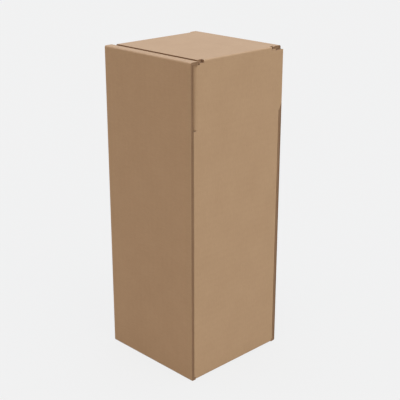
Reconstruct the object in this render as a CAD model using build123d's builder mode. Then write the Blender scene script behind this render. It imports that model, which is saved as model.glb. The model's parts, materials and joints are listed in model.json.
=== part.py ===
"""Closed tall carton of corrugated board, folded from one die-cut blank, in millimetres.

The blank folds up as a roll-end carton with a tuck lid. Its base carries four walls. Each side wall
rolls over a narrow strip at the top and comes back down as an inner wall, which locks into the base
with two tabs. The corner flaps of the end walls are trapped between the two layers of the side walls.
The lid is hinged on the hinge wall, and its tuck flap goes down inside the front wall.

+X is the hinge wall, -X the front wall, and the side walls face -Y and +Y. +Z is up, and the origin
is in the middle of the underside.
"""

import math
import os

from build123d import *

# ---------------------------------------------------------------- driving dimensions
box_depth = 113.0  # outside, hinge wall to front wall
box_width = 116.0  # outside, side wall to side wall
box_height = 300.0  # underside to the top of the rolled-over strips
board = 3.0  # caliper of the single-wall board
layer_gap = 0.2  # air between two layers that lie against each other
crease_radius = 1.5  # outside radius of a well-pressed crease
corner_relief = 1.2  # radius of the punched relief at each corner of the base

# Side walls
foot_gap = 0.3  # inner wall above the base
end_gap = 3.5  # inner wall short of the end walls
tab_length = 14.0  # lock tab, along X
tab_spacing = 52.0  # between the middles of the two tabs of an inner wall
tab_tip_height = 0.5  # tab tip above the underside
slot_gap = 0.3  # tab to its slot, all round

# Corner flaps
flap_length = 45.0  # along the side wall, from the inside of the end wall
flap_foot = 6.0  # lower edge of the flaps above the underside
flap_crease = 1.0  # outside radius where a flap leaves its wall
upper_corner = 59.0  # height of the hinge wall's separate upper corners, from the top of the box
upper_roll = 5.5  # outside radius of the loosely rolled upper flap
flap_slit = 0.4  # slit between the lower and the upper flap
shoulder_rise = 6.0  # slope under the wide upper corner of the hinge wall
shoulder_gap = 0.3  # that slope to the side wall under it

# Lid
lid_proud = 0.6  # lid top above the strips
lid_side_gap = 1.0  # lid edge to the rolled-over side wall
hinge_gap = 0.3  # hinge wall top to the rolled crease of the lid
hinge_inset = 5.1  # the crease stops this far short of the lid's side edges
relief_gap = 0.5  # relief cut at each end of the crease, to the hinge wall
relief_wall_rise = 0.9  # hinge wall in the relief cuts, above its top under the crease
front_gap = 0.5  # tuck flap to the front wall
front_drop = 2.0  # front wall below the strips
tuck_length = 25.0  # from the lid top, along the flap
tuck_narrowing = 1.0  # each side, against the lid
tuck_corner = 8.0  # corner radius of the tuck flap

# ---------------------------------------------------------------- places that follow
half_depth = box_depth / 2
half_width = box_width / 2
end_inside = half_depth - board  # inner face of the end walls
side_inside = half_width - board  # inner face of the outer side walls
flap_outside = side_inside - layer_gap
flap_inside = flap_outside - board
inner_outside = flap_inside - layer_gap
inner_inside = inner_outside - board  # clear half width inside the carton
inner_foot = board + foot_gap
strip_underside = box_height - board
end_top = strip_underside - layer_gap  # top of the end walls under the strips
corner_step = box_height - upper_corner  # height where the separate upper corners start
flap_tip = end_inside - flap_length

lid_top = box_height + lid_proud
lid_underside = lid_top - board
lid_half_width = inner_inside - lid_side_gap
hinge_half_width = lid_half_width - hinge_inset
hinge_x = half_depth - board / 2
hinge_z = lid_top - board / 2
hinge_wall_top = lid_underside - hinge_gap
relief_wall_top = hinge_wall_top + relief_wall_rise
tuck_face = -(end_inside - front_gap)  # outer face of the tuck flap at its fold
lid_reach = hinge_x - tuck_face
lean = math.asin(tuck_length / (2 * lid_reach))  # the flap's tip swings on the circle of its fold
tuck_tip_x = tuck_face + tuck_length * math.sin(lean)
tuck_tip_z = lid_top - tuck_length * math.cos(lean)
tuck_root = lid_underside - crease_radius


def span_box(x_range, y_range, z_range, mode=Mode.ADD):
    """Box given by its lowest and highest coordinate along each axis."""
    middle = [(low + high) / 2 for low, high in (x_range, y_range, z_range)]
    size = [high - low for low, high in (x_range, y_range, z_range)]
    with Locations(tuple(middle)):
        Box(*size, mode=mode)


def on_side(low, high, side):
    """Range from low to high on the positive side, or its mirror image on the negative side."""
    return (low, high) if side > 0 else (-high, -low)


def roll_over_section():
    """Section across Y and Z: base, side walls, strips and inner walls as one bent sheet."""
    with BuildSketch(Plane.YZ) as section:
        with BuildLine():
            Polyline(
                (0, 0),
                (half_width, 0),
                (half_width, box_height),
                (inner_inside, box_height),
                (inner_inside, inner_foot),
                (inner_outside, inner_foot),
                (inner_outside, strip_underside),
                (side_inside, strip_underside),
                (side_inside, board),
                (0, board),
                close=True,
            )
        make_face()
        strip_folds = vertices().group_by(Axis.Y)[-1]
        base_fold = vertices().group_by(Axis.X)[-1].sort_by(Axis.Y)[:1]
        fillet(strip_folds + base_fold, crease_radius)
        mirror(about=Plane.YZ)
    return section.sketch


def end_wall_section(facing):
    """Plan of an end wall with a corner flap at both ends; facing is 1 or -1 along X."""
    with BuildSketch(Plane.XY.offset(flap_foot)) as section:
        with BuildLine():
            Polyline(
                (facing * flap_tip, -flap_outside),
                (facing * half_depth, -flap_outside),
                (facing * half_depth, flap_outside),
                (facing * flap_tip, flap_outside),
                (facing * flap_tip, flap_inside),
                (facing * end_inside, flap_inside),
                (facing * end_inside, -flap_inside),
                (facing * flap_tip, -flap_inside),
                close=True,
            )
        make_face()
        fillet(vertices().group_by(Axis.X)[-1 if facing > 0 else 0], flap_crease)
    return section.sketch


def upper_hinge_wall_section():
    """Plan of the hinge wall beside its upper corners, with the loosely rolled flap at -Y."""
    with BuildSketch(Plane.XY.offset(corner_step)) as section:
        with BuildLine():
            Polyline(
                (flap_tip, -flap_outside),
                (half_depth, -flap_outside),
                (half_depth, flap_outside),
                (end_inside, flap_outside),
                (end_inside, -flap_inside),
                (flap_tip, -flap_inside),
                close=True,
            )
        make_face()
        inner_bend = vertices().group_by(Axis.Y)[1].sort_by(Axis.X)[-1]
        outer_bend = vertices().group_by(Axis.Y)[0].sort_by(Axis.X)[-1]
        fillet(inner_bend, upper_roll - board)
        fillet(outer_bend, upper_roll)
    return section.sketch


def wide_corner_outline(drop, top, x):
    """Face view of the hinge wall's wide upper corner, whose lower edge slopes up to the outside."""
    with BuildSketch(Plane.YZ.offset(x)) as section:
        with BuildLine():
            Polyline(
                (flap_outside, corner_step - drop),
                (half_width, corner_step + shoulder_rise - drop),
                (half_width, top),
                (flap_outside, top),
                close=True,
            )
        make_face()
    return section.sketch


def crease_cut_section(facing):
    """What a pressed crease takes off the square edge between the base and an end wall."""
    reach = half_depth - crease_radius
    with BuildSketch(Plane.XZ) as section:
        with Locations((facing * (reach + crease_radius / 2), crease_radius / 2)):
            Rectangle(crease_radius, crease_radius)
        with Locations((facing * reach, crease_radius)):
            Circle(crease_radius, mode=Mode.SUBTRACT)
    return section.sketch


def lid_section():
    """Section across X and Z: lid panel and tuck flap as one bent sheet, with a rolled crease."""
    inner_bend_x = tuck_face + board * (1 + math.sin(lean)) / math.cos(lean)
    with BuildSketch(Plane.XZ) as section:
        with BuildLine():
            Polyline(
                (hinge_x, lid_top),
                (tuck_face, lid_top),
                (tuck_tip_x, tuck_tip_z),
                (tuck_tip_x + board * math.cos(lean), tuck_tip_z + board * math.sin(lean)),
                (inner_bend_x, lid_underside),
                (hinge_x, lid_underside),
                close=True,
            )
        make_face()
        fillet(vertices().group_by(Axis.X)[0], crease_radius)
        with Locations((hinge_x, hinge_z)):
            Circle(board / 2)
    return section.sketch


with BuildPart() as carton_body:
    # Base, side walls, strips and inner walls
    extrude(roll_over_section(), amount=half_depth, both=True)

    # The inner walls stop short of the end walls
    for side in (-1, 1):
        for facing in (-1, 1):
            span_box(
                on_side(end_inside - end_gap, half_depth, facing),
                on_side(inner_inside, inner_outside, side),
                (board, strip_underside),
                mode=Mode.SUBTRACT,
            )

    # Lock tabs under the inner walls, in slots through the base
    for side in (-1, 1):
        for middle in (-tab_spacing / 2, tab_spacing / 2):
            slot_reach = tab_length / 2 + slot_gap
            span_box(
                (middle - slot_reach, middle + slot_reach),
                on_side(inner_inside - slot_gap, inner_outside + slot_gap, side),
                (0, board),
                mode=Mode.SUBTRACT,
            )
            span_box(
                (middle - tab_length / 2, middle + tab_length / 2),
                on_side(inner_inside, inner_outside, side),
                (tab_tip_height, inner_foot),
            )

    # The +Y side wall is cut back beside the wide corner of the hinge wall
    cut_back = wide_corner_outline(shoulder_gap, strip_underside, end_inside - layer_gap)
    extrude(cut_back, amount=board + layer_gap, mode=Mode.SUBTRACT)

    # Front wall: foot, wall with its corner flaps, and the top edge between the strips
    span_box((-half_depth, -end_inside), (-flap_outside, flap_outside), (0, flap_foot))
    extrude(end_wall_section(-1), amount=end_top - flap_foot)
    span_box(
        (-half_depth, -end_inside),
        (-lid_half_width, lid_half_width),
        (end_top, box_height - front_drop),
    )

    # Hinge wall: foot, wall with its lower corner flaps, and the piece beside the upper corners
    span_box((end_inside, half_depth), (-flap_outside, flap_outside), (0, flap_foot))
    extrude(end_wall_section(1), amount=corner_step - flap_slit - flap_foot)
    span_box(
        (end_inside, half_depth),
        (-flap_inside, flap_outside),
        (corner_step - flap_slit, corner_step),
    )
    extrude(upper_hinge_wall_section(), amount=end_top - corner_step)
    extrude(wide_corner_outline(0, end_top, end_inside), amount=board)

    # Top of the hinge wall: higher in the two relief cuts than under the crease
    span_box(
        (end_inside, half_depth),
        (-lid_half_width, lid_half_width),
        (end_top, relief_wall_top),
    )
    span_box(
        (end_inside, half_depth),
        (-hinge_half_width - hinge_gap, hinge_half_width + hinge_gap),
        (hinge_wall_top, relief_wall_top),
        mode=Mode.SUBTRACT,
    )

    # Pressed creases under the two end walls, and the punched relief at each corner of the base
    for facing in (-1, 1):
        extrude(crease_cut_section(facing), amount=half_width, both=True, mode=Mode.SUBTRACT)
        for side in (-1, 1):
            with Locations((facing * half_depth, side * flap_outside, board / 2)):
                Cylinder(corner_relief, board, mode=Mode.SUBTRACT)

with BuildPart() as lid:
    # Panel, rolled crease and tuck flap
    extrude(lid_section(), amount=lid_half_width, both=True)

    # Relief cuts at both ends of the crease
    for side in (-1, 1):
        span_box(
            (end_inside - relief_gap, half_depth),
            on_side(hinge_half_width, lid_half_width, side),
            (lid_underside, lid_top),
            mode=Mode.SUBTRACT,
        )

    # The tuck flap is narrower than the lid below its fold, and its corners are rounded
    with BuildSketch(Plane.YZ.offset(tuck_face)):
        with Locations((0, tuck_root)):
            Rectangle(2 * lid_half_width, tuck_root - tuck_tip_z, align=(Align.CENTER, Align.MAX))
        with Locations((0, tuck_tip_z)):
            RectangleRounded(
                2 * (lid_half_width - tuck_narrowing),
                tuck_root - tuck_tip_z + tuck_corner,
                tuck_corner,
                align=(Align.CENTER, Align.MIN),
                mode=Mode.SUBTRACT,
            )
    extrude(amount=tuck_length, mode=Mode.SUBTRACT)

carton_body.part.label = "carton_body"
lid.part.label = "lid"

os.makedirs("parts", exist_ok=True)
export_step(carton_body.part, "parts/carton_body.step")
export_step(lid.part, "parts/lid.step")
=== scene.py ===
"""Looks of a tall kraft carton, folded from one sheet of corrugated board.

The board is built as it is folded: bent sheets with two liners, and a fluted medium that shows between
them wherever the board is cut. Everything is in metres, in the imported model's own frame.
"""

import json
import math

import bpy
import numpy as np
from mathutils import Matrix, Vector


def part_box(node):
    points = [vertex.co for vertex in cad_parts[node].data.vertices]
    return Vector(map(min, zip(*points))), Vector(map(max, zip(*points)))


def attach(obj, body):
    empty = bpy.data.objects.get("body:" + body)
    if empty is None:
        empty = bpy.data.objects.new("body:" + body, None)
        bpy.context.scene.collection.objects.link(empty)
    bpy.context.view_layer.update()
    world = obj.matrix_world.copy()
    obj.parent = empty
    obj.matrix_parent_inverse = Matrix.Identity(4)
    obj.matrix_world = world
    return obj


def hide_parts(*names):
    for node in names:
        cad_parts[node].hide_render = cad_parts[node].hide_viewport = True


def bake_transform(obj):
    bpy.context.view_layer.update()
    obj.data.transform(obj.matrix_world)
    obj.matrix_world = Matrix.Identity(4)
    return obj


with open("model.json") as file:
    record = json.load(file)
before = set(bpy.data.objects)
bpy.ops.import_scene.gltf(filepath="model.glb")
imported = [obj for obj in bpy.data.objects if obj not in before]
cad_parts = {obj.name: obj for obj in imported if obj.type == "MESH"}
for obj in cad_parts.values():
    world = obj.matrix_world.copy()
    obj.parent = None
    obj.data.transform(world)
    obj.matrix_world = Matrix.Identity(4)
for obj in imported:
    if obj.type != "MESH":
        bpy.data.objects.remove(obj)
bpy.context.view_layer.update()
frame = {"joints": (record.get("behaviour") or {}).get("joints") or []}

# ---------------------------------------------------------------- sizes of the carton
MM = 0.001
BODY_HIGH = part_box("carton_body")[1]
LID_LOW, LID_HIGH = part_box("lid")
HINGE = frame["joints"][0]["pos_m"]

HALF_DEPTH = BODY_HIGH.x
HALF_WIDTH = BODY_HIGH.y
HEIGHT = BODY_HIGH.z
LID_TOP = LID_HIGH.z
LID_HALF_WIDTH = LID_HIGH.y
BOARD = 2 * (LID_TOP - HINGE[2])

CREASE = 1.5 * MM  # outside radius of a pressed crease
LAYER_GAP = 0.2 * MM
END_INSIDE = HALF_DEPTH - BOARD
SIDE_INSIDE = HALF_WIDTH - BOARD
FLAP_OUTSIDE = SIDE_INSIDE - LAYER_GAP
FLAP_INSIDE = FLAP_OUTSIDE - BOARD
INNER_OUTSIDE = FLAP_INSIDE - LAYER_GAP
INNER_INSIDE = INNER_OUTSIDE - BOARD
INNER_HALF_DEPTH = END_INSIDE - 3.5 * MM
INNER_FOOT = BOARD + 0.3 * MM
STRIP_UNDERSIDE = HEIGHT - BOARD
END_TOP = STRIP_UNDERSIDE - LAYER_GAP
FRONT_TOP = HEIGHT - 2 * MM

FLAP_TIP = END_INSIDE - 45 * MM
FLAP_FOOT = 6 * MM
FLAP_CREASE = 1 * MM
CORNER_STEP = HEIGHT - 59 * MM
UPPER_ROLL = 5.5 * MM
FLAP_SLIT = 0.4 * MM
SHOULDER_RISE = 6 * MM
SHOULDER_GAP = 0.3 * MM

HINGE_GAP = 0.3 * MM
HINGE_HALF_WIDTH = LID_HALF_WIDTH - 5.1 * MM
HINGE_WALL_TOP = LID_TOP - BOARD - HINGE_GAP
RELIEF_WALL_TOP = HINGE_WALL_TOP + 0.9 * MM
RELIEF_GAP = 0.5 * MM
TUCK_FACE = LID_LOW.x
TUCK_NARROWING = 1 * MM
TUCK_CORNER = 8 * MM
TUCK_LENGTH = 25 * MM
TUCK_LEAN = math.asin(TUCK_LENGTH / (2 * (HINGE[0] - TUCK_FACE)))
TUCK_TIP = (TUCK_FACE + TUCK_LENGTH * math.sin(TUCK_LEAN), LID_LOW.z)

TAB_HALF_LENGTH = 7 * MM
TAB_MIDDLE = 26 * MM
TAB_TIP = 0.5 * MM
SLOT_GAP = 0.3 * MM

# The board itself
LINER = 0.38 * MM  # thickness of each liner
MEDIUM = 0.26 * MM  # thickness of the fluted medium
FLUTE_PITCH = 6.4 * MM
STATIONS_PER_FLUTE = 14
EDGE_DEPTH = 0.3 * MM  # how far a cut edge opens between its liners
MEDIUM_DEPTH = 0.05 * MM  # how far the cut medium stands back from the liners
FLUTE_SWING = 0.36  # half the medium's swing, as a share of the board
RIB_DRIFT = 310 * MM  # run over which a cut along the flutes wanders once across one of them
NOTCH = 0.01 * MM  # length of a square step in an outline
TIGHT = 0.1 * MM  # smallest radius inside a fold
GUARD = 0.05 * MM  # flat run kept beside a fold, so that its shading ends there

# Where the sheets meet
BASE_SIDE = INNER_OUTSIDE + SLOT_GAP + 1 * MM  # base panel to the side walls' folds
BASE_END = END_INSIDE - 0.5 * MM  # base panel to the end walls' folds
PAPER_HINGE = 7.5 * MM  # outer liner that bends over the hinge reaches this far on each side of it
PAPER = 0.15 * MM
SET_BACK = 0.03 * MM  # the boards under that liner lie this much further in


# ---------------------------------------------------------------- bent sheets
def bent_path(corners, radii, board=BOARD, arc_steps=8):
    """Outer and inner face of a board that follows straight runs with rounded folds.

    The corners are those of the outer face, in clockwise order, so that the board lies to the right.
    Round a fold of radius r, the outer face is the arc centre - r * spoke, where the spoke turns from
    one inward normal to the next. The inner face is such an arc too, of radius r - board, or of
    TIGHT where that is less.
    Returns outer points, inner points, and the run along the outer face up to each of them.
    """
    corners = np.array(corners, float)
    steps = np.diff(corners, axis=0)
    along = steps / np.linalg.norm(steps, axis=1)[:, None]
    inward = np.column_stack([along[:, 1], -along[:, 0]])
    outer = [corners[:1]]
    inner = [corners[:1] + board * inward[:1]]
    for place, radius in enumerate(radii):
        corner = corners[place + 1]
        before, after = inward[place], inward[place + 1]
        turn = math.acos(np.clip(before @ after, -1, 1))
        mitre = (before + after) / (1 + before @ after)
        angle = np.linspace(0, turn, arc_steps + 1)[:, None]
        spoke = np.cos(angle) * before - np.sin(angle) * along[place]
        inner_radius = max(radius - board, TIGHT)
        for face, arc in (
            (outer, corner + radius * (mitre - spoke)),
            (inner, corner + (board + inner_radius) * mitre - inner_radius * spoke),
        ):
            face.append(arc[:1] - GUARD * along[place])
            face.append(arc)
            face.append(arc[-1:] + GUARD * along[place + 1])
    outer = np.vstack(outer + [corners[-1:]])
    inner = np.vstack(inner + [corners[-1:] + board * inward[-1:]])
    run = np.concatenate([[0], np.cumsum(np.linalg.norm(np.diff(outer, axis=0), axis=1))])
    return outer, inner, run


def rolled_end(path, arc_steps=10, last_angle=84):
    """The path with its end rounded off: both faces follow one circle almost to its far point."""
    outer, inner, run = path
    middle = (outer[-1] + inner[-1]) / 2
    half = (outer[-1] - inner[-1]) / 2
    ahead = np.array([half[1], -half[0]])
    angle = np.radians(np.linspace(0, last_angle, arc_steps + 1))[1:, None]
    outer = np.vstack([outer, middle + np.cos(angle) * half + np.sin(angle) * ahead])
    inner = np.vstack([inner, middle - np.cos(angle) * half + np.sin(angle) * ahead])
    run = np.concatenate([run, run[-1] + np.linalg.norm(half) * angle[:, 0]])
    return outer, inner, run


def run_at(path, point):
    """Run along the outer face at its nearest point to the given one."""
    outer, _, run = path
    step = np.diff(outer, axis=0)
    length = np.linalg.norm(step, axis=1)
    part = np.clip(np.sum((point - outer[:-1]) * step, axis=1) / length**2, 0, 1)
    distance = np.linalg.norm(outer[:-1] + part[:, None] * step - point, axis=1)
    nearest = np.argmin(distance)
    return run[nearest] + part[nearest] * length[nearest]


def slanted(path, outer_point, inner_point):
    """The path with one leaning station, from a point of its outer face to one of its inner face."""
    outer, inner, run = path
    at = run_at(path, outer_point)
    place = np.searchsorted(run, at)
    step = outer[place] - outer[place - 1]
    notch = np.array([[0, 0], NOTCH * step / np.linalg.norm(step)])
    outer = np.insert(outer, place, outer_point + notch, axis=0)
    inner = np.insert(inner, place, inner_point + notch, axis=0)
    return outer, inner, np.insert(run, place, [at, at + NOTCH])


def outline(path, start, *steps):
    """Edge of a sheet: it starts at one height and steps squarely to another at each given point."""
    runs, heights = [path[2][0]], [start]
    for point, height in steps:
        at = run_at(path, point)
        runs += [at, at + NOTCH]
        heights += [heights[-1], height]
    runs.append(path[2][-1] + 2 * NOTCH)
    heights.append(heights[-1])
    return np.array(runs), np.array(heights)


def cut_profile(rib, liner, half_rib):
    """Cut edge from the outer face to the inner one, as (share across the board, depth) pairs."""
    one = np.ones_like(rib)
    return [
        (one, 0),
        ((1 - liner) * one, 0),
        ((1 - liner) * one, EDGE_DEPTH),
        (rib + half_rib, EDGE_DEPTH),
        (rib + half_rib, MEDIUM_DEPTH),
        (rib - half_rib, MEDIUM_DEPTH),
        (rib - half_rib, EDGE_DEPTH),
        (liner * one, EDGE_DEPTH),
        (liner * one, 0),
        (0 * one, 0),
    ]


def board_sheet(path, low, high, axes, flutes="along", phase=0.2, board=BOARD):
    """Closed bent board: a profile with an open cut edge at each side, carried along a path.

    The path lies in the plane of the first two axes, and the profile runs along the third one from the
    low outline to the high one. Across the board a point is inner + share * (outer - inner). In the
    cut edges the medium stands as a rib. Its share drifts slowly where the flutes run along the path,
    and is 1/2 + FLUTE_SWING * sin(2 pi run / FLUTE_PITCH) where they run across it. With flutes
    None the sheet is one solid paper with plain edges.
    Returns points, faces, the layer of each face (0 liner, 1 cut edge), and every point's place on the
    flat sheet, across and along the flutes.
    """
    outer, inner, run = path
    stations = [run, low[0], high[0]]
    if flutes == "across":
        stations.append(np.arange(run[0], run[-1], FLUTE_PITCH / STATIONS_PER_FLUTE))
    fine = np.unique(np.concatenate(stations).clip(run[0], run[-1]))
    fine = fine[np.concatenate([[True], np.diff(fine) > NOTCH / 2])]
    outer = np.column_stack([np.interp(fine, run, outer[:, k]) for k in (0, 1)])
    inner = np.column_stack([np.interp(fine, run, inner[:, k]) for k in (0, 1)])
    low_edge = np.interp(fine, *low)
    high_edge = np.interp(fine, *high)

    if flutes == "across":
        rib = 0.5 + FLUTE_SWING * np.sin(2 * np.pi * (fine / FLUTE_PITCH + phase))
    else:
        rib = 0.5 + 0.6 * FLUTE_SWING * np.sin(2 * np.pi * (fine / RIB_DRIFT + phase))
    one = np.ones_like(fine)
    edge = cut_profile(rib, LINER / board, MEDIUM / board / 2) if flutes else [(one, 0), (0 * one, 0)]
    share = np.column_stack([part for part, _ in edge] + [part for part, _ in reversed(edge)])
    depth = [deep for _, deep in edge]
    side = np.column_stack(
        [low_edge + deep for deep in depth] + [high_edge - deep for deep in reversed(depth)]
    )
    across = inner[:, None] + share[:, :, None] * (outer - inner)[:, None]
    rows, columns = share.shape
    points = np.empty((rows, columns, 3))
    points[:, :, axes[0]] = across[:, :, 0]
    points[:, :, axes[1]] = across[:, :, 1]
    points[:, :, axes[2]] = side

    row = columns * np.arange(rows - 1)[:, None]
    column = np.arange(columns)[None]
    following = (column + 1) % columns
    quads = np.stack(
        [row + column, row + following, row + columns + following, row + columns + column], axis=-1
    ).reshape(-1, 4)
    caps = [np.arange(columns)[::-1], (rows - 1) * columns + np.arange(columns)]
    layer = np.ones(columns, int)
    layer[[len(edge) - 1, columns - 1]] = 0
    layers = np.concatenate([np.tile(layer, rows - 1), [1, 1]])
    faces = quads.tolist() + [cap.tolist() for cap in caps]
    if np.linalg.det(np.eye(3)[list(axes)]) > 0:
        faces = [face[::-1] for face in faces]
    lengthwise = np.broadcast_to(fine[:, None], side.shape)
    flat = (lengthwise, side) if flutes == "across" else (side, lengthwise)
    return points.reshape(-1, 3), faces, layers, np.stack(flat, axis=-1).reshape(-1, 2)


def mirrored(sheet):
    """The sheet's mirror image in the middle plane between the side walls."""
    points, faces, layers, flat = sheet
    return points * (1, -1, 1), [face[::-1] for face in faces], layers, flat


def slotted_plate(x_lines, y_lines, kept, low, high):
    """Flat board on a grid of lines, with only its kept cells, closed all round each gap.

    Every kept cell has a top and a bottom face, and a wall wherever its neighbour is not kept.
    """
    x, y, z = np.meshgrid(x_lines, y_lines, (low, high), indexing="ij")
    points = np.stack([x, y, z], axis=-1).reshape(-1, 3)
    index = np.arange(x.size).reshape(x.shape)
    solid = np.pad(kept, 1)
    faces = []
    layers = []
    for layer, gone, ring in (
        (0, np.ones_like(kept), ((0, 0, 1), (1, 0, 1), (1, 1, 1), (0, 1, 1))),
        (0, np.ones_like(kept), ((0, 0, 0), (0, 1, 0), (1, 1, 0), (1, 0, 0))),
        (1, ~solid[2:, 1:-1], ((1, 0, 0), (1, 1, 0), (1, 1, 1), (1, 0, 1))),
        (1, ~solid[:-2, 1:-1], ((0, 0, 0), (0, 0, 1), (0, 1, 1), (0, 1, 0))),
        (1, ~solid[1:-1, 2:], ((0, 1, 0), (0, 1, 1), (1, 1, 1), (1, 1, 0))),
        (1, ~solid[1:-1, :-2], ((0, 0, 0), (1, 0, 0), (1, 0, 1), (0, 0, 1))),
    ):
        cells = np.argwhere(kept & gone)
        corner = [index[cells[:, 0] + i, cells[:, 1] + j, k] for i, j, k in ring]
        faces += np.column_stack(corner).tolist()
        layers.append(np.full(len(cells), layer))
    return points, faces, np.concatenate(layers), points[:, :2]


def make_piece(name, sheets, materials):
    """One mesh object out of several sheets, with a liner material and a cut-edge material whose darker
    brown is partly painted shade.
    """
    mesh = bpy.data.meshes.new(name)
    starts = np.cumsum([0] + [len(points) for points, *_ in sheets])
    faces = []
    for start, (_, sheet_faces, _, _) in zip(starts, sheets):
        faces += [[start + corner for corner in face] for face in sheet_faces]
    mesh.from_pydata(np.vstack([sheet[0] for sheet in sheets]), [], faces)
    for material in materials:
        mesh.materials.append(material)
    mesh.polygons.foreach_set("material_index", np.concatenate([sheet[2] for sheet in sheets]))
    corners = np.empty(len(mesh.loops), np.int32)
    mesh.loops.foreach_get("vertex_index", corners)
    flat = np.vstack([sheet[3] for sheet in sheets])
    mesh.uv_layers.new(name="flat_sheet").data.foreach_set("uv", flat[corners].reshape(-1))
    mesh.shade_smooth()
    mesh.set_sharp_from_angle(angle=math.radians(30))
    piece = bpy.data.objects.new(name, mesh)
    bpy.context.scene.collection.objects.link(piece)
    return piece


# ---------------------------------------------------------------- the folded blank
PLAN = (0, 1, 2)  # sections in X and Y, carried up Z
CROSSWISE = (1, 2, 0)  # sections in Y and Z, carried along X
LENGTHWISE = (0, 2, 1)  # sections in X and Z, carried along Y


def side_wall(wide_corner):
    """Inner wall, top strip, outer wall and the edge of the base, rolled from one piece, on the +Y side.

    Beside the hinge wall's wide corner the strip and the wall end short, down to a slanted cut.
    """
    path = bent_path(
        [
            (INNER_INSIDE, INNER_FOOT),
            (INNER_INSIDE, HEIGHT),
            (HALF_WIDTH, HEIGHT),
            (HALF_WIDTH, 0),
            (BASE_SIDE, 0),
        ],
        [CREASE] * 3,
    )
    strip_start = (INNER_INSIDE, STRIP_UNDERSIDE)
    low = outline(path, -INNER_HALF_DEPTH, (strip_start, -HALF_DEPTH))
    if not wide_corner:
        high = outline(path, INNER_HALF_DEPTH, (strip_start, HALF_DEPTH))
        return board_sheet(path, low, high, CROSSWISE, phase=0.6)
    rise = SHOULDER_RISE / (HALF_WIDTH - FLAP_OUTSIDE)
    cut_outside = (HALF_WIDTH, CORNER_STEP + SHOULDER_RISE - SHOULDER_GAP)
    cut_inside = (SIDE_INSIDE, CORNER_STEP + rise * LAYER_GAP - SHOULDER_GAP)
    path = slanted(path, cut_outside, cut_inside)
    short_end = END_INSIDE - LAYER_GAP
    high = outline(path, INNER_HALF_DEPTH, (strip_start, short_end), (cut_outside, HALF_DEPTH))
    return board_sheet(path, low, high, CROSSWISE)


def end_wall(facing, top, step_down, *top_steps):
    """End wall with a corner flap at both ends, as high as top and the steps say; facing is 1 or -1."""
    turn = facing * FLAP_OUTSIDE
    path = bent_path(
        [
            (facing * FLAP_TIP, turn),
            (facing * HALF_DEPTH, turn),
            (facing * HALF_DEPTH, -turn),
            (facing * FLAP_TIP, -turn),
        ],
        [FLAP_CREASE] * 2,
    )
    root = facing * END_INSIDE
    low = outline(path, FLAP_FOOT, ((root, turn), BOARD), ((root, -turn), FLAP_FOOT))
    high = outline(path, top - step_down, ((root, turn), top), *top_steps)
    return board_sheet(path, low, high, PLAN, phase=0.35 * facing)


def upper_hinge_wall():
    """Upper hinge wall: it covers the +Y corner flat, and rolls loosely into a flap at the -Y corner."""
    face = HALF_DEPTH - SET_BACK
    path = bent_path(
        [(face, HALF_WIDTH), (face, -FLAP_OUTSIDE), (FLAP_TIP, -FLAP_OUTSIDE)], [UPPER_ROLL]
    )
    shoulder = HALF_WIDTH - FLAP_OUTSIDE
    low = (
        np.array([0, shoulder, path[2][-1]]),
        np.array([CORNER_STEP + SHOULDER_RISE, CORNER_STEP, CORNER_STEP]),
    )
    crease_end = HINGE_HALF_WIDTH + HINGE_GAP
    high = outline(
        path,
        END_TOP,
        ((face, LID_HALF_WIDTH), RELIEF_WALL_TOP),
        ((face, crease_end), HINGE_WALL_TOP),
        ((face, -crease_end), RELIEF_WALL_TOP),
        ((face, -LID_HALF_WIDTH), END_TOP),
    )
    return board_sheet(path, low, high, PLAN, phase=0.1)


def foot_crease(facing):
    """Fold between the base and an end wall."""
    corners = [
        (facing * HALF_DEPTH, BOARD),
        (facing * HALF_DEPTH, 0),
        (facing * BASE_END, 0),
    ]
    path = bent_path(corners if facing > 0 else corners[::-1], [CREASE])
    low = outline(path, -BASE_SIDE)
    return board_sheet(path, low, (low[0], -low[1]), LENGTHWISE)


def base_panel():
    """Base with a slot for each lock tab, and the tabs standing in their slots."""
    slot_reach = TAB_HALF_LENGTH + SLOT_GAP
    slots = [TAB_MIDDLE - slot_reach, TAB_MIDDLE + slot_reach]
    across = [INNER_INSIDE - SLOT_GAP, INNER_OUTSIDE + SLOT_GAP, BASE_SIDE]
    x_lines = np.array([-BASE_END, -slots[1], -slots[0], *slots, BASE_END])
    y_lines = np.array([-across[2], -across[1], -across[0], *across])
    kept = np.ones((5, 5), bool)
    kept[1::2, 1::2] = False
    parts = [slotted_plate(x_lines, y_lines, kept, 0, BOARD)]
    for middle in (-TAB_MIDDLE, TAB_MIDDLE):
        for y_range in ((-INNER_OUTSIDE, -INNER_INSIDE), (INNER_INSIDE, INNER_OUTSIDE)):
            x_range = np.array([middle - TAB_HALF_LENGTH, middle + TAB_HALF_LENGTH])
            whole = np.ones((1, 1), bool)
            parts.append(slotted_plate(x_range, np.array(y_range), whole, TAB_TIP, INNER_FOOT))
    return parts


def lid_sheet():
    """Tuck flap and lid as one bent sheet, with the nose that turns in the hinge crease."""
    face = LID_TOP - SET_BACK
    path = rolled_end(
        bent_path(
            [TUCK_TIP, (TUCK_FACE, face), (HINGE[0], face)], [CREASE], board=BOARD - 2 * SET_BACK
        )
    )
    reach = np.linspace(0, TUCK_CORNER, 10)
    rounded = np.sqrt(TUCK_CORNER**2 - (TUCK_CORNER - reach) ** 2) - TUCK_CORNER
    tuck_half = LID_HALF_WIDTH - TUCK_NARROWING
    runs, half = outline(
        path,
        tuck_half,
        ((TUCK_FACE, LID_TOP - BOARD - CREASE), LID_HALF_WIDTH),
        ((END_INSIDE - RELIEF_GAP, face), HINGE_HALF_WIDTH),
    )
    runs = np.concatenate([reach, runs[1:]])
    half = np.concatenate([tuck_half + rounded, half[1:]])
    return board_sheet(path, (runs, -half), (runs, half), LENGTHWISE, flutes="across", phase=0)


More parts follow.
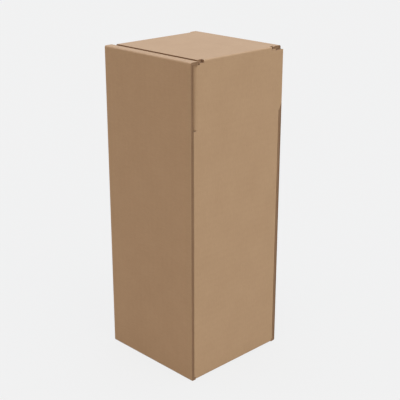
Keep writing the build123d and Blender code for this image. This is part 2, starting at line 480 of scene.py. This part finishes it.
def hinge_paper():
    """Outer liner that carries on from the hinge wall over the crease to the lid."""
    path = bent_path(
        [
            (HINGE[0] - PAPER_HINGE, LID_TOP),
            (HALF_DEPTH, LID_TOP),
            (HALF_DEPTH, HINGE_WALL_TOP - PAPER_HINGE),
        ],
        [CREASE],
        board=PAPER,
    )
    low = outline(path, -HINGE_HALF_WIDTH)
    return board_sheet(path, low, (low[0], -low[1]), LENGTHWISE, flutes=None)


# ---------------------------------------------------------------- finishes
class Socket:
    """An output socket; an expression on sockets adds the Math nodes that it stands for."""

    def __init__(self, tree, socket):
        self.tree = tree
        self.socket = socket

    def maths(self, operation, first, second):
        return self.tree.node("ShaderNodeMath", {"operation": operation}, {0: first, 1: second})

    def __add__(self, other):
        return self.maths("ADD", self, other)

    def __sub__(self, other):
        return self.maths("SUBTRACT", self, other)

    def __rsub__(self, other):
        return self.maths("SUBTRACT", other, self)

    def __mul__(self, other):
        return self.maths("MULTIPLY", self, other)

    __radd__ = __add__
    __rmul__ = __mul__


class Tree:
    """A node tree of a material or the world."""

    def __init__(self, owner):
        owner.use_nodes = True
        self.tree = owner.node_tree
        self.tree.nodes.clear()

    def node(self, kind, settings=None, inputs=None, output=0):
        """Adds a node: its settings first, then the values or links of its sockets. Gives one output."""
        node = self.tree.nodes.new(kind)
        for name, value in (settings or {}).items():
            setattr(node, name, value)
        for name, value in (inputs or {}).items():
            if isinstance(value, Socket):
                self.tree.links.new(value.socket, node.inputs[name])
            else:
                node.inputs[name].default_value = value
        return Socket(self, node.outputs[output]) if node.outputs else None

    def mixed(self, share, first, second):
        """Colour between two others."""
        return self.node("ShaderNodeMix", {"data_type": "RGBA"}, {0: share, 6: first, 7: second}, 2)

    def maths_sine(self, angle):
        return self.node("ShaderNodeMath", {"operation": "SINE"}, {0: angle})

    def noise(self, place, scale, detail=2.0, roughness=0.5):
        """Noise about 0, between -0.5 and 0.5."""
        found = self.node(
            "ShaderNodeTexNoise",
            inputs={"Vector": place, "Scale": scale, "Detail": detail, "Roughness": roughness},
        )
        return found - 0.5

    def stretched(self, place, scale):
        return self.node("ShaderNodeMapping", inputs={"Vector": place, "Scale": scale})


def linear(red, green, blue):
    """Linear colour of an 8-bit sRGB one."""
    share = np.array([red, green, blue]) / 255
    light = np.where(share > 0.04045, ((share + 0.055) / 1.055) ** 2.4, share / 12.92)
    return (*light.tolist(), 1.0)


def kraft_finish(name, dark, pale, washboard):
    """Kraft paper: cloudy pulp, fibres across the flutes, dark shives and the flutes' washboard.

    The height is washboard * sin(2 pi across / FLUTE_PITCH) plus fibre and cloud noise.
    """
    material = bpy.data.materials.new(name)
    paper = Tree(material)
    place = paper.node("ShaderNodeTexCoord", output="Object")
    flat = paper.node("ShaderNodeUVMap", {"uv_map": "flat_sheet"})
    clouds = paper.noise(place, 34, detail=3, roughness=0.6)
    pulp = paper.noise(place, 420, detail=4, roughness=0.65)
    fibres = paper.noise(paper.stretched(flat, (420, 2600, 1)), 1, detail=3, roughness=0.6)
    grain = paper.noise(paper.stretched(flat, (90, 900, 1)), 1, detail=2)
    shives = paper.node(
        "ShaderNodeMapRange",
        inputs={
            "Value": paper.noise(paper.stretched(flat, (500, 1700, 1)), 1, detail=1),
            "From Min": 0.22,
            "From Max": 0.30,
        },
    )
    across = paper.node("ShaderNodeSeparateXYZ", inputs={0: flat})
    wave = paper.maths_sine(across * (2 * math.pi / FLUTE_PITCH))
    tone = 0.5 + clouds * 0.55 + pulp * 0.5 + fibres * 0.5 + grain * 0.35 + wave * washboard
    colour = paper.mixed(tone, linear(*dark), linear(*pale))
    colour = paper.mixed(shives * 0.22, colour, linear(112, 82, 56))
    height = fibres * 0.5 + pulp * 0.9 + clouds * 1.6 + wave * (3 * washboard)
    bump = paper.node(
        "ShaderNodeBump", inputs={"Height": height, "Distance": 0.03 * MM, "Strength": 1.0}
    )
    shader = paper.node(
        "ShaderNodeBsdfPrincipled",
        inputs={
            "Base Color": colour,
            "Roughness": 0.86 + pulp * 0.12,
            "Normal": bump,
            "Specular IOR Level": 0.25,
        },
    )
    paper.node("ShaderNodeOutputMaterial", inputs={"Surface": shader})
    return material


liner = kraft_finish("kraft_liner", (176, 142, 109), (193, 159, 125), 0.02)
# Cut edges are darker brown than the liner. Part of this is the board's own edge colour, and part is
# painted shade of the recessed, shadowed edges.
cut_edge_painted_shade = kraft_finish("cut_edge_painted_shade", (138, 108, 81), (162, 129, 100), 0.0)

# ---------------------------------------------------------------- the pieces
front_steps = (
    ((-HALF_DEPTH, -LID_HALF_WIDTH), FRONT_TOP),
    ((-HALF_DEPTH, LID_HALF_WIDTH), END_TOP),
)
board = make_piece(
    "carton_board",
    [
        side_wall(wide_corner=True),
        mirrored(side_wall(wide_corner=False)),
        end_wall(-1, END_TOP, 0, *front_steps),
        end_wall(1, CORNER_STEP, FLAP_SLIT, ((HALF_DEPTH, -FLAP_INSIDE), CORNER_STEP - FLAP_SLIT)),
        upper_hinge_wall(),
        foot_crease(-1),
        foot_crease(1),
        *base_panel(),
    ],
    (liner, cut_edge_painted_shade),
)
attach(board, "carton")
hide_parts("carton_body")

lid = make_piece("lid_board", [lid_sheet()], (liner, cut_edge_painted_shade))
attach(lid, "lid")
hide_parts("lid")

crease = make_piece("lid_crease", [hinge_paper()], (liner, cut_edge_painted_shade))
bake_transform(crease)

# ---------------------------------------------------------------- floor, light and camera
BACKGROUND = 0.888  # linear level of the plain background
FLOOR_REACH = 12.0
CAMERA_PLACE = (0.59275, -0.56856, 0.44643)
CAMERA_VIEW = (-0.67479, 0.65588, -0.33843)
LENS = 81.66
RAYS = ("Camera", "Glossy", "Transmission")


def seen_directly(tree):
    """1 where the camera, a mirror or glass looks at the thing, and 0 for its light on other things."""
    path = [tree.node("ShaderNodeLightPath", output=f"Is {ray} Ray") for ray in RAYS]
    return path[0] + path[1] + path[2]


floor_mesh = bpy.data.meshes.new("floor")
floor_mesh.from_pydata(
    [(x * FLOOR_REACH, y * FLOOR_REACH, -SET_BACK) for x, y in ((-1, -1), (1, -1), (1, 1), (-1, 1))],
    [],
    [(0, 1, 2, 3)],
)
floor_finish = bpy.data.materials.new("pale_floor")
floor_tree = Tree(floor_finish)
seen = seen_directly(floor_tree)
matt = floor_tree.node(
    "ShaderNodeBsdfDiffuse",
    inputs={"Color": floor_tree.mixed(seen, (0.36, 0.335, 0.29, 1), (0.70, 0.66, 0.60, 1))},
)
glow = floor_tree.node(
    "ShaderNodeEmission", inputs={"Color": (1, 1, 1, 1), "Strength": BACKGROUND}
)
floor_look = floor_tree.node("ShaderNodeMixShader", inputs={0: seen * 0.92, 1: matt, 2: glow})
floor_tree.node("ShaderNodeOutputMaterial", inputs={"Surface": floor_look})
floor_mesh.materials.append(floor_finish)
floor = bpy.data.objects.new("floor", floor_mesh)
bpy.context.scene.collection.objects.link(floor)

world = bpy.data.worlds.new("studio")
bpy.context.scene.world = world
sky = Tree(world)
sky_light = sky.node("ShaderNodeBackground", inputs={"Color": (1, 1, 1, 1), "Strength": 0.5})
sky_seen = sky.node("ShaderNodeBackground", inputs={"Color": (1, 1, 1, 1), "Strength": BACKGROUND})
sky_look = sky.node("ShaderNodeMixShader", inputs={0: seen_directly(sky), 1: sky_light, 2: sky_seen})
sky.node("ShaderNodeOutputWorld", inputs={"Surface": sky_look})


def soft_sun(name, towards, colour, width):
    """Sun lamp that shines from the given direction, as wide as the given angle in degrees."""
    lamp = bpy.data.lights.new(name, "SUN")
    lamp.energy = math.pi * max(colour)
    lamp.color = [part / max(colour) for part in colour]
    lamp.angle = math.radians(width)
    sun = bpy.data.objects.new(name, lamp)
    sun.rotation_mode = "QUATERNION"
    sun.rotation_quaternion = Vector(towards).to_track_quat("Z", "Y")
    bpy.context.scene.collection.objects.link(sun)


soft_sun("overhead", (0, 0, 1), (0.48, 0.60, 0.81), 70)
soft_sun("right_window", (1, 0.1, 0.35), (0.355, 0.35, 0.32), 50)
soft_sun("left_window", (-0.1, -1, 0.35), (0.125, 0.075, 0.02), 50)

camera_data = bpy.data.cameras.new("camera")
camera_data.sensor_width = 36
camera_data.lens = LENS
camera_data.clip_start = 0.01
camera_data.clip_end = 100
camera = bpy.data.objects.new("camera", camera_data)
camera.location = CAMERA_PLACE
camera.rotation_mode = "QUATERNION"
camera.rotation_quaternion = Vector(CAMERA_VIEW).to_track_quat("-Z", "Y")
bpy.context.scene.collection.objects.link(camera)
bpy.context.scene.camera = camera
bpy.context.scene.view_settings.view_transform = "Standard"
